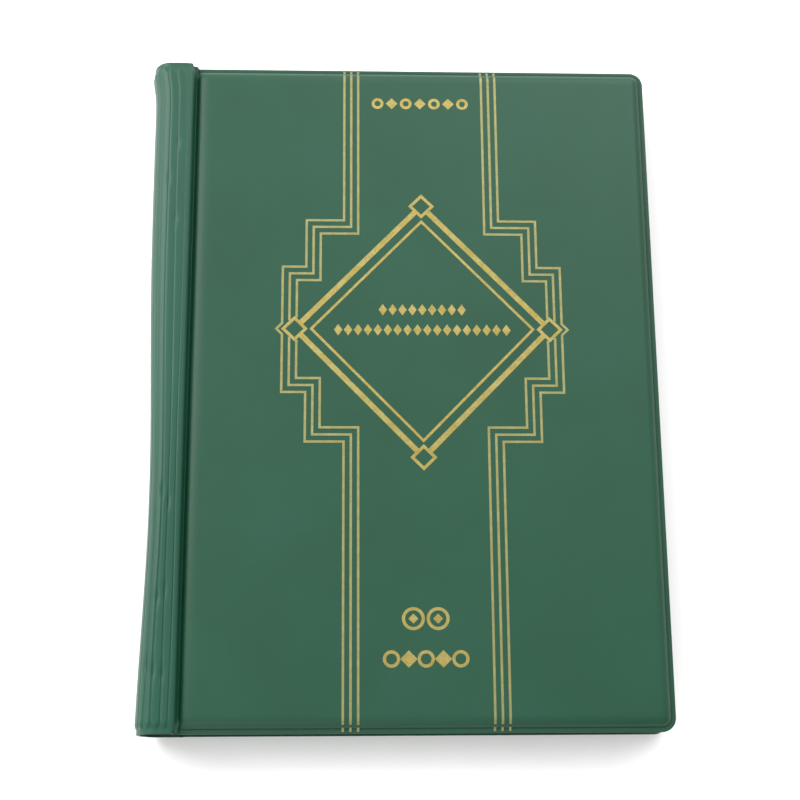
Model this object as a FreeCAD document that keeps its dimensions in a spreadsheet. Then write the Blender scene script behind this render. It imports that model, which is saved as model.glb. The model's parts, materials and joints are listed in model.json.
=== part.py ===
"""Coin album with padded covers, a soft rolled spine and welded-in pocket leaves.

Frame: +X runs from the spine to the fore-edge, +Y from tail to head and +Z up.  The closed album
lies on its back cover, and the origin is the centre of its footprint on the surface below it.
"""
import FreeCAD, Part
import math
import os

import Sketcher
from FreeCAD import Placement, Rotation, Vector

doc = FreeCAD.newDocument("CoinAlbum")

# ---------------------------------------------------------------- driving dimensions, mm
SIZES = {
    "album_width": (150.0, "spine crest to fore-edge"),
    "album_length": (200.0, "tail to head"),
    "skin_gauge": (0.45, "outer cover film"),
    "foam_gauge": (1.4, "foam pad under the outer film"),
    "board_gauge": (1.2, "greyboard"),
    "lining_gauge": (0.35, "inner cover film"),
    "rim_width": (2.0, "flat welded rim round a padded cover"),
    "corner_radius": (4.0, "fore-edge corners of a cover"),
    "panel_radius": (3.0, "fore-edge corners of the padded panel"),
    "shoulder_radius": (1.6, "rounded shoulder of the padded panel"),
    "spine_depth": (12.7, "spine crest to hinge line"),
    "hinge_depth": (0.8, "hinge line below the cover's face"),
    "hinge_gap": (0.8, "hinge line to the cover's own edge"),
    "hinge_clearance": (0.3, "hinge strip to the cover's edge"),
    "hinge_gauge": (0.35, "hinge strip thickness"),
    "weld_bead": (0.05, "weld between a hinge strip and the roll"),
    "roll_start": (0.6, "hinge line to the start of the spine roll"),
    "crest_reach": (6.0, "hinge line to the roll's highest line"),
    "crest_rise": (2.0, "roll above the front cover's face"),
    "table_clearance": (0.2, "roll above the surface the album lies on"),
    "roll_gauge": (0.6, "spine film"),
    "roll_lining_gauge": (0.3, "film inside the spine roll"),
    "weld_dip": (0.35, "depth of a weld groove in the spine"),
    "lining_welds": (1, "weld grooves outside the leaf welds, on each side"),
    "leaf_count": (10, "leaves"),
    "pocket_columns": (3, "pockets across a leaf"),
    "pocket_rows": (4, "pockets up a leaf"),
    "fore_setback": (4.3, "cover's fore-edge beyond a leaf"),
    "head_setback": (4.0, "cover's head and tail beyond a leaf"),
    "film_gauge": (0.25, "leaf backing film"),
    "pocket_depth": (0.3, "empty pocket's gap"),
    "front_gauge": (0.25, "clear pocket front"),
    "leaf_clearance": (0.3, "between neighbouring leaves"),
    "weld_width": (1.5, "weld round a pocket"),
    "mouth_gap": (1.5, "pocket mouth to the next row"),
    "leaf_edge": (2.0, "film beyond the pockets"),
    "pocket_inset": (5.0, "hinge line to the first pocket"),
    "film_inset": (1.0, "hinge line to the leaf's own film"),
    "margin_gauge": (0.25, "binding margin of a leaf"),
    "margin_clearance": (0.3, "binding margin to the leaf's film"),
    "flap_gauge": (0.15, "tuck-in flap"),
    "flap_tuck": (8.0, "flap inside its pocket"),
    "flap_side": (0.75, "flap to the pocket's side weld"),
    "foil_gauge": (0.05, "hot-stamped foil"),
    "fine_line": (0.7, "width of a border line"),
    "bold_line": (1.5, "width of the diamond's main band"),
    "link_line": (0.9, "width of a small diamond's line"),
    "border_pitch": (2.1, "border line to border line"),
    "border_reach": (23.0, "pattern axis to the outer border line"),
    "step_reach": (34.1, "pattern axis to the first step"),
    "wing_reach": (41.0, "pattern axis to the widest border line"),
    "step_height": (33.9, "pattern centre to the first step"),
    "wing_height": (19.2, "pattern centre to the second step"),
    "diamond_width": (37.4, "half of the diamond's width"),
    "diamond_height": (38.5, "half of the diamond's height"),
    "link_size": (3.9, "half of a small diamond's diagonal"),
    "inner_offset": (4.4, "small diamond's centre to the fine inner diamond"),
    "pattern_shift": (0.95, "pattern axis from the cover's middle towards the spine"),
    "pattern_rise": (15.6, "pattern centre above the album's middle"),
    "chevron": (1.7, "outer border line's step out beside a side diamond"),
    "bead_size": (1.0, "half of a small bead's diagonal"),
    "bead_pitch": (2.9, "bead to bead"),
    "title_drop": (12.2, "title ornament below the head edge"),
    "title_size": (1.8, "radius of the title ornament's rings and beads"),
    "title_pitch": (4.3, "title ornament's pitch"),
    "title_count": (7, "rings and beads in the title ornament"),
    "upper_rise": (5.9, "upper bead row above the pattern centre"),
    "upper_count": (9, "beads in the upper row"),
    "lower_drop": (0.3, "lower bead row below the pattern centre"),
    "lower_count": (18, "beads in the lower row"),
    "coin_rise": (31.1, "pair of coins above the tail edge"),
    "coin_radius": (3.2, "one coin of the pair"),
    "coin_pitch": (6.9, "coin to coin"),
    "foot_rise": (20.0, "foot ornament above the tail edge"),
    "foot_size": (2.4, "radius of the foot ornament's rings and beads"),
    "foot_pitch": (4.8, "foot ornament's pitch"),
    "foot_count": (5, "rings and beads in the foot ornament"),
}

sheet = doc.addObject("Spreadsheet::Sheet", "Sizes")
for row, (alias, (number, note)) in enumerate(SIZES.items(), start=1):
    sheet.set(f"A{row}", note)
    sheet.set(f"B{row}", str(number))
    sheet.setAlias(f"B{row}", alias)
doc.recompute()

# ---------------------------------------------------------------- derived expressions
COVER = "(Sizes.lining_gauge + Sizes.board_gauge + Sizes.foam_gauge + Sizes.skin_gauge)"
LEAF = "(Sizes.film_gauge + Sizes.pocket_depth + Sizes.front_gauge)"
PITCH = f"({LEAF} + Sizes.leaf_clearance)"
STACK = f"(Sizes.leaf_count * {PITCH} + Sizes.leaf_clearance)"
CLOSED = f"(2 * {COVER} + {STACK})"
HINGE_X = "(Sizes.spine_depth - Sizes.album_width / 2)"
COVER_X = f"({HINGE_X} + Sizes.hinge_gap)"
COVER_WIDTH = f"(Sizes.album_width / 2 - {COVER_X})"
PANEL_WIDTH = f"({COVER_WIDTH} - Sizes.rim_width)"
PANEL_LENGTH = "(Sizes.album_length - 2 * Sizes.rim_width)"
FIRST_POCKET_X = f"({HINGE_X} + Sizes.pocket_inset)"
LAST_POCKET_X = "(Sizes.album_width / 2 - Sizes.fore_setback - Sizes.leaf_edge)"
POCKETS_WIDTH = f"({LAST_POCKET_X} - {FIRST_POCKET_X})"
POCKETS_LENGTH = "(Sizes.album_length - 2 * Sizes.head_setback - 2 * Sizes.leaf_edge)"
COLUMN_PITCH = f"({POCKETS_WIDTH} / Sizes.pocket_columns)"
ROW_PITCH = f"({POCKETS_LENGTH} / Sizes.pocket_rows)"
FLAT_UP = Rotation()
FLAT_DOWN = Rotation(Vector(1, 0, 0), 180)

parts = []


def value(expression):
    """The number that an expression of the sheet's cells gives."""
    return float(sheet.evalExpression(expression))


def bind(item, **expressions):
    """Bind properties of one object to expressions; a double underscore stands for a dot."""
    for name, expression in expressions.items():
        item.setExpression(name.replace("__", "."), expression)


def keep(item, label):
    """Give a finished sub-part its own name and put it on the list to write."""
    item.Label = label
    parts.append(item)
    return item


def feature(label, shape):
    """A sub-part whose shape is worked out below from the sheet's values."""
    item = doc.addObject("Part::Feature", label)
    item.Shape = shape
    return keep(item, label)


# ---------------------------------------------------------------- padded covers
def plate_sketch(body, name, width, length):
    """A rectangle from the body's Y axis to +X, centred on its X axis."""
    sketch = body.newObject("Sketcher::SketchObject", name)
    plane = next(item for item in body.Origin.OriginFeatures if item.Role == "XY_Plane")
    sketch.AttachmentSupport = [(plane, "")]
    sketch.MapMode = "FlatFace"
    far = value(width)
    half = value(length) / 2
    corners = [Vector(0, -half), Vector(far, -half), Vector(far, half), Vector(0, half)]
    for start, end in zip(corners, corners[1:] + corners[:1]):
        sketch.addGeometry(Part.LineSegment(start, end), False)
    for side in range(4):
        sketch.addConstraint(Sketcher.Constraint("Coincident", side, 2, (side + 1) % 4, 1))
    sketch.addConstraint(Sketcher.Constraint("Horizontal", 0))
    sketch.addConstraint(Sketcher.Constraint("Horizontal", 2))
    sketch.addConstraint(Sketcher.Constraint("Vertical", 1))
    sketch.addConstraint(Sketcher.Constraint("PointOnObject", 0, 1, -2))
    sketch.addConstraint(Sketcher.Constraint("Symmetric", 0, 1, 3, 1, -1))
    wide = sketch.addConstraint(Sketcher.Constraint("DistanceX", 0, 1, 0, 2, far))
    tall = sketch.addConstraint(Sketcher.Constraint("DistanceY", 1, 1, 1, 2, 2 * half))
    sketch.setExpression(f"Constraints[{wide}]", width)
    sketch.setExpression(f"Constraints[{tall}]", length)
    return sketch


def pad(body, sketch, height):
    """Pad a sketch to a height given as an expression."""
    item = body.newObject("PartDesign::Pad", "Pad")
    item.Profile = sketch
    bind(item, Length=height)
    doc.recompute()
    return item


def round_edges(body, base, radius, wanted):
    """Fillet those edges of the body that the test picks out."""
    names = [f"Edge{n}" for n, edge in enumerate(base.Shape.Edges, start=1) if wanted(edge)]
    item = body.newObject("PartDesign::Fillet", "Fillet")
    item.Base = (base, names)
    bind(item, Radius=radius)
    doc.recompute()
    return item


def upright_at(edge, far):
    """Whether an edge is vertical and stands at the given distance from the hinge edge."""
    box = edge.BoundBox
    return box.ZLength > 0.1 and box.XLength < 1e-6 and abs(box.XMin - far) < 1e-6


def level_at(edge, height):
    """Whether an edge lies level at the given height."""
    box = edge.BoundBox
    return box.ZLength < 1e-6 and abs(box.ZMin - height) < 1e-6


def place(item, side, z, inset="0"):
    """Put a cover layer, made from the inner face outwards, into its cover."""
    item.Placement = Placement(Vector(0, 0, 0), FLAT_UP if side == "front" else FLAT_DOWN)
    above = f"{CLOSED} - {COVER} + {z}"
    below = f"{COVER} - {z}"
    bind(item, Placement__Base__x=f"{COVER_X} + {inset}",
         Placement__Base__z=above if side == "front" else below)


def layer(side, name, width, length, height, corner, z, inset="0", shoulder=None):
    """One flat layer of a cover with rounded fore-edge corners and, if asked, a rounded top."""
    body = doc.addObject("PartDesign::Body", f"{side}_cover_{name}")
    base = pad(body, plate_sketch(body, "Outline", width, length), height)
    far = value(width)
    base = round_edges(body, base, corner, lambda edge: upright_at(edge, far))
    if shoulder:
        top = value(height)
        base = round_edges(body, base, shoulder, lambda edge: level_at(edge, top))
    body.Tip = base
    place(body, side, z, inset)
    return body


def cover(side):
    """Lining, greyboard, foam pad and outer film of one cover."""
    core_width = f"{PANEL_WIDTH} - 2 * Sizes.skin_gauge"
    core_length = f"{PANEL_LENGTH} - 2 * Sizes.skin_gauge"
    core_corner = "Sizes.panel_radius - Sizes.skin_gauge"
    core_z = "Sizes.lining_gauge"
    foam_z = f"({core_z} + Sizes.board_gauge)"
    lining = layer(side, "lining", COVER_WIDTH, "Sizes.album_length", "Sizes.lining_gauge",
                   "Sizes.corner_radius", "0")
    board = layer(side, "board", core_width, core_length, "Sizes.board_gauge", core_corner,
                  core_z, "Sizes.skin_gauge")
    foam = layer(side, "foam", core_width, core_length, "Sizes.foam_gauge", core_corner,
                 foam_z, "Sizes.skin_gauge",
                 "min(Sizes.shoulder_radius - Sizes.skin_gauge; 0.9 * Sizes.foam_gauge)")
    rim = layer(side, "rim", COVER_WIDTH, "Sizes.album_length", "Sizes.skin_gauge",
                "Sizes.corner_radius", core_z)
    panel = layer(side, "panel", PANEL_WIDTH, PANEL_LENGTH, f"{COVER} - Sizes.lining_gauge",
                  "Sizes.panel_radius", core_z, "0", "Sizes.shoulder_radius")
    outside = doc.addObject("Part::MultiFuse", f"{side}_cover_outside")
    outside.Shapes = [rim, panel]
    outside.Refine = True
    core = doc.addObject("Part::MultiFuse", f"{side}_cover_core")
    core.Shapes = [board, foam]
    skin = doc.addObject("Part::Cut", f"{side}_cover_skin_cut")
    skin.Base = outside
    skin.Tool = core
    doc.recompute()
    keep(lining, f"{side}_cover_lining")
    keep(board, f"{side}_cover_board")
    keep(foam, f"{side}_cover_foam")
    keep(skin, f"{side}_cover_skin")


# ---------------------------------------------------------------- spine roll
def quarter(centre, start, end, steps=60):
    """A quarter of an ellipse about a centre, from the tip of one half axis to the other's."""
    return [centre + (start - centre) * math.cos(turn) + (end - centre) * math.sin(turn)
            for turn in (math.pi / 2 * n / steps for n in range(steps + 1))]


def roll_curve():
    """The roll's outer line, from the front hinge round the crest to the back hinge."""
    hinge = value(HINGE_X)
    closed = value(CLOSED)
    near = hinge - value("Sizes.roll_start")
    crest = hinge - value("Sizes.crest_reach")
    far = -value("Sizes.album_width") / 2
    front = closed - value("Sizes.hinge_depth")
    top = closed + value("Sizes.crest_rise")
    foot = value("Sizes.table_clearance")
    middle = (top + foot) / 2
    curve = quarter(Vector(crest, 0, front), Vector(near, 0, front), Vector(crest, 0, top))
    curve += quarter(Vector(crest, 0, middle), Vector(crest, 0, top), Vector(far, 0, middle))[1:]
    curve += quarter(Vector(crest, 0, middle), Vector(far, 0, middle), Vector(crest, 0, foot))[1:]
    return curve + [Vector(near, 0, foot)]


ROLL = roll_curve()
REACHES = [0.0]
for before, after in zip(ROLL, ROLL[1:]):
    REACHES.append(REACHES[-1] + (after - before).Length)
WELDS = int(value("Sizes.leaf_count + 2 * Sizes.lining_welds"))


def roll_point(share, depth):
    """The point at a share of the roll's length, a depth inside its outer line."""
    reach = share * REACHES[-1]
    index = next(n for n in range(1, len(REACHES)) if REACHES[n] >= reach - 1e-9)
    along = (ROLL[index] - ROLL[index - 1]).normalize()
    point = ROLL[index - 1] + along * (reach - REACHES[index - 1])
    inward = Vector(-along.z, 0, along.x)
    return point + inward * depth


def roll_wall(depth):
    """Arcs from hinge to hinge at one depth, dipping in at each weld groove."""
    dip = value("Sizes.weld_dip")
    bands = WELDS + 1
    arcs = []
    for band in range(bands):
        start = roll_point(band / bands, depth + (dip if band else 0))
        middle = roll_point((band + 0.5) / bands, depth)
        end = roll_point((band + 1) / bands, depth + (dip if band + 1 < bands else 0))
        arcs.append(Part.Arc(start, middle, end).toShape())
    return arcs


def roll_shell(outer_depth, inner_depth):
    """The solid between two depths of the roll, from tail to head."""
    outer = roll_wall(outer_depth)
    inner = roll_wall(inner_depth)
    first = Part.LineSegment(inner[0].Vertexes[0].Point, outer[0].Vertexes[0].Point).toShape()
    last = Part.LineSegment(outer[-1].Vertexes[1].Point, inner[-1].Vertexes[1].Point).toShape()
    outline = Part.Wire(Part.__sortEdges__([first] + outer + [last] + inner))
    return sweep_length(Part.Face(outline), "Sizes.album_length")


def sweep_length(face, length):
    """Extrude a face that lies in the XZ plane along Y, centred on the album's middle."""
    whole = value(length)
    face.translate(Vector(0, -whole / 2, 0))
    return face.extrude(Vector(0, whole, 0))


def hinge_strip(name, z):
    """The thin film that joins the roll to one cover along the hinge line."""
    item = doc.addObject("Part::Box", name)
    start = "(Sizes.roll_start + Sizes.roll_gauge + Sizes.roll_lining_gauge)"
    bind(item, Length=f"{start} + Sizes.hinge_gap - Sizes.hinge_clearance",
         Width="Sizes.album_length", Height="Sizes.hinge_gauge",
         Placement__Base__x=f"{HINGE_X} - {start}",
         Placement__Base__y="-Sizes.album_length / 2", Placement__Base__z=z)
    return keep(item, name)


# ---------------------------------------------------------------- leaves
def leaf_z(number):
    """Underside of a leaf's film; leaf 1 lies next to the front cover."""
    return f"({CLOSED} - {COVER} - {number} * {PITCH})"


def binding_margin(number, lining):
    """The strip of a leaf that runs from its weld in the spine to its own hinge."""
    welds_before = int(value("Sizes.lining_welds"))
    wall = value("Sizes.roll_gauge + Sizes.weld_dip + Sizes.roll_lining_gauge / 2")
    gauge = value("Sizes.margin_gauge")
    weld = roll_point((welds_before + number) / (WELDS + 1), wall)
    end = Vector(value(f"{HINGE_X} + Sizes.film_inset - Sizes.margin_clearance"), 0,
                 value(f"{leaf_z(number)} + Sizes.film_gauge / 2"))
    along = (end - weld).normalize()
    across = Vector(-along.z, 0, along.x) * (gauge / 2)
    corners = [weld + across, end + across, end - across, weld - across]
    strip = sweep_length(Part.Face(Part.makePolygon(corners + corners[:1])), POCKETS_LENGTH)
    pieces = strip.cut(lining).Solids
    free = max(pieces, key=lambda solid: solid.Volume)
    return feature(f"leaf_{number:02d}_margin", free)


def box(name, length, width, height, x, y, z):
    """A box whose size and place are expressions."""
    item = doc.addObject("Part::Box", name)
    bind(item, Length=length, Width=width, Height=height,
         Placement__Base__x=x, Placement__Base__y=y, Placement__Base__z=z)
    return item


def leaf(number):
    """One leaf: backing film, a clear pocket strip for each row, and the tuck-in flaps."""
    tag = f"leaf_{number:02d}"
    film_top = f"({leaf_z(number)} + Sizes.film_gauge)"
    film_x = f"({HINGE_X} + Sizes.film_inset)"
    film = box(f"{tag}_film", f"{LAST_POCKET_X} - {film_x} + Sizes.leaf_edge",
               f"{POCKETS_LENGTH} + 2 * Sizes.leaf_edge", "Sizes.film_gauge", film_x,
               f"-{POCKETS_LENGTH} / 2 - Sizes.leaf_edge", leaf_z(number))
    keep(film, f"{tag}_film")
    strips = []
    flaps = []
    strip_length = f"({ROW_PITCH} - Sizes.mouth_gap)"
    gap_width = f"({COLUMN_PITCH} - Sizes.weld_width)"
    for row in range(int(value("Sizes.pocket_rows"))):
        row_y = f"({row} * {ROW_PITCH} - {POCKETS_LENGTH} / 2)"
        front = box(f"{tag}_row_{row}", POCKETS_WIDTH, strip_length,
                    "Sizes.pocket_depth + Sizes.front_gauge", FIRST_POCKET_X, row_y, film_top)
        gaps = []
        for column in range(int(value("Sizes.pocket_columns"))):
            gap_x = f"({FIRST_POCKET_X} + {column} * {COLUMN_PITCH} + Sizes.weld_width / 2)"
            gaps.append(box(f"{tag}_gap_{row}_{column}", gap_width,
                            strip_length, "Sizes.pocket_depth", gap_x,
                            f"{row_y} + Sizes.weld_width", film_top))
            flaps.append(box(f"{tag}_flap_{row}_{column}",
                             f"{gap_width} - 2 * Sizes.flap_side",
                             "Sizes.flap_tuck + Sizes.mouth_gap / 2", "Sizes.flap_gauge",
                             f"{gap_x} + Sizes.flap_side",
                             f"{row_y} + {strip_length} - Sizes.flap_tuck", film_top))
        hollow = doc.addObject("Part::MultiFuse", f"{tag}_hollow_{row}")
        hollow.Shapes = gaps
        strip = doc.addObject("Part::Cut", f"{tag}_strip_{row}")
        strip.Base = front
        strip.Tool = hollow
        strips.append(strip)
    for name, pieces in (("pockets", strips), ("flaps", flaps)):
        group = doc.addObject("Part::Compound", f"{tag}_{name}")
        group.Links = pieces
        keep(group, f"{tag}_{name}")


# ---------------------------------------------------------------- foil pattern
def foil_face(points):
    """A flat face through points given from the pattern axis, at the cover's face."""
    shift = Vector(value(f"{COVER_X} + {COVER_WIDTH} / 2 - Sizes.pattern_shift"), 0, 0)
    level = Vector(0, 0, value(CLOSED))
    corners = [Vector(x, y, 0) + shift + level for x, y in points]
    return Part.Face(Part.makePolygon(corners + corners[:1]))


def foil(label, faces):
    """Stamp faces as thin foil, each a solid of its own."""
    lift = Vector(0, 0, value("Sizes.foil_gauge"))
    return feature(label, Part.makeCompound([face.extrude(lift) for face in faces]))


def stepped_line(line, side):
    """One border line down the cover: straight, out in two steps round the diamond, and back."""
    inset = line * value("Sizes.border_pitch")
    half = value("Sizes.fine_line") / 2
    reach = value("Sizes.border_reach") - inset
    step = value("Sizes.step_reach") - inset
    wing = value("Sizes.wing_reach") - inset
    rise = value("Sizes.pattern_rise")
    step_y = value("Sizes.step_height") - inset
    wing_y = value("Sizes.wing_height") - inset
    vee = value("Sizes.chevron")
    end = value(f"{PANEL_LENGTH} / 2 - Sizes.shoulder_radius")

    def edge(out):
        upper = [(reach, end), (reach, step_y), (step, step_y), (step, wing_y), (wing, wing_y)]
        right = [(x + out, y + out if n else y) for n, (x, y) in enumerate(upper)]
        if line == 0:
            right.append((wing + out, vee + out * math.tan(math.pi / 8)))
            tip = [(wing + vee + out * math.sqrt(2), 0)]
        else:
            tip = []
        top = [(x, y + rise if n else y) for n, (x, y) in enumerate(right)]
        foot = [(x, rise - y if n else -y) for n, (x, y) in enumerate(right)]
        return top + [(x, y + rise) for x, y in tip] + foot[::-1]

    outline = edge(half) + edge(-half)[::-1]
    return foil_face([(side * x, y) for x, y in outline])


def diamond(x, y, wide, tall):
    """A diamond face about a point."""
    return foil_face([(x - wide, y), (x, y - tall), (x + wide, y), (x, y + tall)])


def ring_of(x, y, wide, tall, line):
    """A diamond outline of a given line width, inside a given size."""
    slant = math.hypot(wide, tall) / tall
    scale = 1 - line * slant / wide
    return diamond(x, y, wide, tall).cut(diamond(x, y, wide * scale, tall * scale))


def border_faces():
    """Three border lines on each side, broken where the side diamonds stand."""
    rise = value("Sizes.pattern_rise")
    wide = value("Sizes.diamond_width")
    link = value("Sizes.link_size")
    lines = []
    for side in (-1, 1):
        stop = diamond(side * wide, rise, link, link)
        lines += [stepped_line(line, side).cut(stop) for line in range(3)]
    return [face for item in lines for face in item.Faces]


def diamond_faces():
    """Four small diamonds, the bold bands between them and the fine diamond inside."""
    rise = value("Sizes.pattern_rise")
    wide = value("Sizes.diamond_width")
    tall = value("Sizes.diamond_height")
    link = value("Sizes.link_size")
    inset = value("Sizes.inner_offset")
    places = [(0, rise + tall), (0, rise - tall), (wide, rise), (-wide, rise)]
    bold = ring_of(0, rise, wide, tall, value("Sizes.bold_line"))
    faces = [ring_of(x, y, link, link, value("Sizes.link_line")) for x, y in places]
    for x, y in places:
        bold = bold.cut(diamond(x, y, link, link))
    faces += bold.Faces
    faces.append(ring_of(0, rise, wide - inset, tall - inset, value("Sizes.fine_line")))
    return [face for item in faces for face in item.Faces]


def ring(x, y, radius, line):
    """A round outline of a given line width, inside a given radius."""
    axis = value(f"{COVER_X} + {COVER_WIDTH} / 2 - Sizes.pattern_shift")
    centre = Vector(axis + x, y, value(CLOSED))
    outer = Part.Face(Part.Wire(Part.makeCircle(radius, centre)))
    return outer.cut(Part.Face(Part.Wire(Part.makeCircle(radius - line, centre))))


def beads(y, size, pitch, count):
    """A centred row of small filled diamonds."""
    return [diamond((n - (count - 1) / 2) * pitch, y, size, size) for n in range(count)]


def coins_and_beads(name, y):
    """A centred row of rings with filled diamonds between them, by the name of its sizes."""
    size = value(f"Sizes.{name}_size")
    pitch = value(f"Sizes.{name}_pitch")
    count = int(value(f"Sizes.{name}_count"))
    row = beads(y, size, pitch, count)
    for n in range(0, count, 2):
        row[n] = ring((n - (count - 1) / 2) * pitch, y, size, value("Sizes.link_line"))
    return row


def coin_pair():
    """Two coins side by side, each a ring round a filled diamond."""
    y = value("Sizes.coin_rise - Sizes.album_length / 2")
    offset = value("Sizes.coin_pitch") / 2
    radius = value("Sizes.coin_radius")
    core = radius - 2 * value("Sizes.link_line")
    faces = []
    for x in (-offset, offset):
        faces += [ring(x, y, radius, value("Sizes.link_line")), diamond(x, y, core, core)]
    return faces


def foil_pattern():
    """All the foil on the front cover, by motif."""
    rise = value("Sizes.pattern_rise")
    size = value("Sizes.bead_size")
    pitch = value("Sizes.bead_pitch")
    upper = beads(rise + value("Sizes.upper_rise"), size, pitch, int(value("Sizes.upper_count")))
    lower = beads(rise - value("Sizes.lower_drop"), size, pitch, int(value("Sizes.lower_count")))
    foil("foil_border_lines", border_faces())
    foil("foil_diamond", diamond_faces())
    title_y = value("Sizes.album_length / 2 - Sizes.title_drop")
    foot_y = value("Sizes.foot_rise - Sizes.album_length / 2")
    foil("foil_title_ornament", coins_and_beads("title", title_y))
    foil("foil_centre_ornament", upper + lower)
    foil("foil_foot_ornament", coin_pair() + coins_and_beads("foot", foot_y))


# ---------------------------------------------------------------- build, check and write
def build():
    """Make every sub-part."""
    cover("back")
    cover("front")
    skin_depth = value("Sizes.roll_gauge")
    lining_depth = value("Sizes.roll_gauge + Sizes.roll_lining_gauge")
    feature("spine_skin", roll_shell(0.0, skin_depth))
    lining = feature("spine_lining", roll_shell(skin_depth, lining_depth))
    hinge_strip("front_hinge_strip",
                f"{CLOSED} - Sizes.hinge_depth - Sizes.weld_bead - Sizes.hinge_gauge")
    hinge_strip("back_hinge_strip", "Sizes.table_clearance + Sizes.roll_gauge"
                " + Sizes.roll_lining_gauge + Sizes.weld_bead")
    for number in range(1, int(value("Sizes.leaf_count")) + 1):
        binding_margin(number, lining.Shape)
        leaf(number)
    foil_pattern()
    doc.recompute()


def check():
    """Stop if any object failed or any sub-part is empty or broken."""
    for item in doc.Objects:
        if "Invalid" in item.State or "Error" in item.State:
            raise RuntimeError(f"{item.Name} failed: {item.State}")
    for item in parts:
        if item.Shape.isNull() or not item.Shape.isValid() or not item.Shape.Solids:
            raise RuntimeError(f"{item.Label} has no sound shape")


def write():
    """Write one file for each sub-part."""
    os.makedirs("parts", exist_ok=True)
    for item in parts:
        item.Shape.exportStep(os.path.join("parts", f"{item.Label}.step"))
        print(item.Label, len(item.Shape.Solids), round(item.Shape.Volume, 2))


build()
check()
write()
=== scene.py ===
"""Visual model of a coin album: padded PVC covers, a soft rolled spine and clear pocket leaves.

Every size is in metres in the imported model's own frame: +X from spine to fore-edge, +Y from tail
to head, +Z up.  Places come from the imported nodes, and each class holds the sizes of its own shape.
"""
import json
import logging
import math
from dataclasses import dataclass, field
from enum import Enum
from typing import Callable, Iterable, Sequence

import bpy
import numpy as np
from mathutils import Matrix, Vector


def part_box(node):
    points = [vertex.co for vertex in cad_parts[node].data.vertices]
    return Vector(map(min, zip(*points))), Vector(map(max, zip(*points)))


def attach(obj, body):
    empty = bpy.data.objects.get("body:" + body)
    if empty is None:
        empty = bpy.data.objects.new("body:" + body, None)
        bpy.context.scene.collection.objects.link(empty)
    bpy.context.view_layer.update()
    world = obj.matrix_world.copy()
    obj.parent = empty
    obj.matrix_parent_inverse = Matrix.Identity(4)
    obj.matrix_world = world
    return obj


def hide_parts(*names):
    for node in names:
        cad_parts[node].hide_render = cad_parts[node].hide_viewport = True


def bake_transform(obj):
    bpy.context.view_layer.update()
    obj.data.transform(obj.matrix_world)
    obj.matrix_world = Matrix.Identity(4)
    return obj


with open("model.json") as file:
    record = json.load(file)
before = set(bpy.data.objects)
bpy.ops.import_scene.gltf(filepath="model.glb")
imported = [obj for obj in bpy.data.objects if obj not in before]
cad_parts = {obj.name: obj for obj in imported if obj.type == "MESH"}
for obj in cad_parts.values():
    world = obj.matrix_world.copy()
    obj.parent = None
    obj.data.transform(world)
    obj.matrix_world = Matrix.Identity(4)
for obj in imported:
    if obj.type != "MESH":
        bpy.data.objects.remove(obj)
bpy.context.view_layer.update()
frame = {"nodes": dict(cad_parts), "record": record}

LOG = logging.getLogger("coin_album")
MM = 0.001
LEAVES = 10
WELDS = 12
# The stamp sits this much nearer the spine than the cover's middle.
PATTERN_SHIFT = 0.95 * MM
PATH_STEPS = 4
RING_SIDES = 40

Point = tuple[float, float]
Surface = Callable[[np.ndarray, np.ndarray], np.ndarray]


class Side(Enum):
    """Which cover, and which way its outer face looks."""

    FRONT = "front"
    BACK = "back"

    @property
    def outward(self) -> float:
        """+1 where the outer face looks up, -1 where it looks down."""
        return 1.0 if self is Side.FRONT else -1.0


# ------------------------------------------------------------------ finishes
def linear(code: str) -> tuple[float, float, float, float]:
    """Turn an sRGB hex colour into linear values.

    Args:
        code: the colour, such as "#3E6955".

    Returns:
        Linear red, green, blue and an alpha of one.
    """
    parts = [int(code[n:n + 2], 16) / 255 for n in (1, 3, 5)]
    made = [p / 12.92 if p <= 0.04045 else ((p + 0.055) / 1.055) ** 2.4 for p in parts]
    return made[0], made[1], made[2], 1.0


def add_node(tree: bpy.types.NodeTree, kind: str, settings: dict | None = None,
             links: dict | None = None) -> bpy.types.Node:
    """Add a node with its settings and links.

    Args:
        tree: the material's node tree.
        kind: the node's type, such as "ShaderNodeBump".
        settings: values by input name, or by attribute where there is no such input.
        links: output sockets by input name or index.

    Returns:
        The new node.
    """
    node = tree.nodes.new(kind)
    for name, value in (settings or {}).items():
        if isinstance(name, str) and hasattr(node, name):
            setattr(node, name, value)
        else:
            node.inputs[name].default_value = value
    for name, socket in (links or {}).items():
        tree.links.new(socket, node.inputs[name])
    return node


def new_tree(name: str) -> tuple[bpy.types.Material, bpy.types.NodeTree, bpy.types.NodeSocket]:
    """Start an empty material.

    Args:
        name: the material's name.

    Returns:
        The material, its tree and the position socket that every pattern is scaled from.
    """
    material = bpy.data.materials.new(name)
    material.use_nodes = True
    tree = material.node_tree
    tree.nodes.clear()
    place = add_node(tree, "ShaderNodeTexCoord").outputs["Object"]
    return material, tree, place


def per_metre(size_mm: float) -> float:
    """Pattern scale for features of a size in millimetres."""
    return 1000.0 / size_mm


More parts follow.
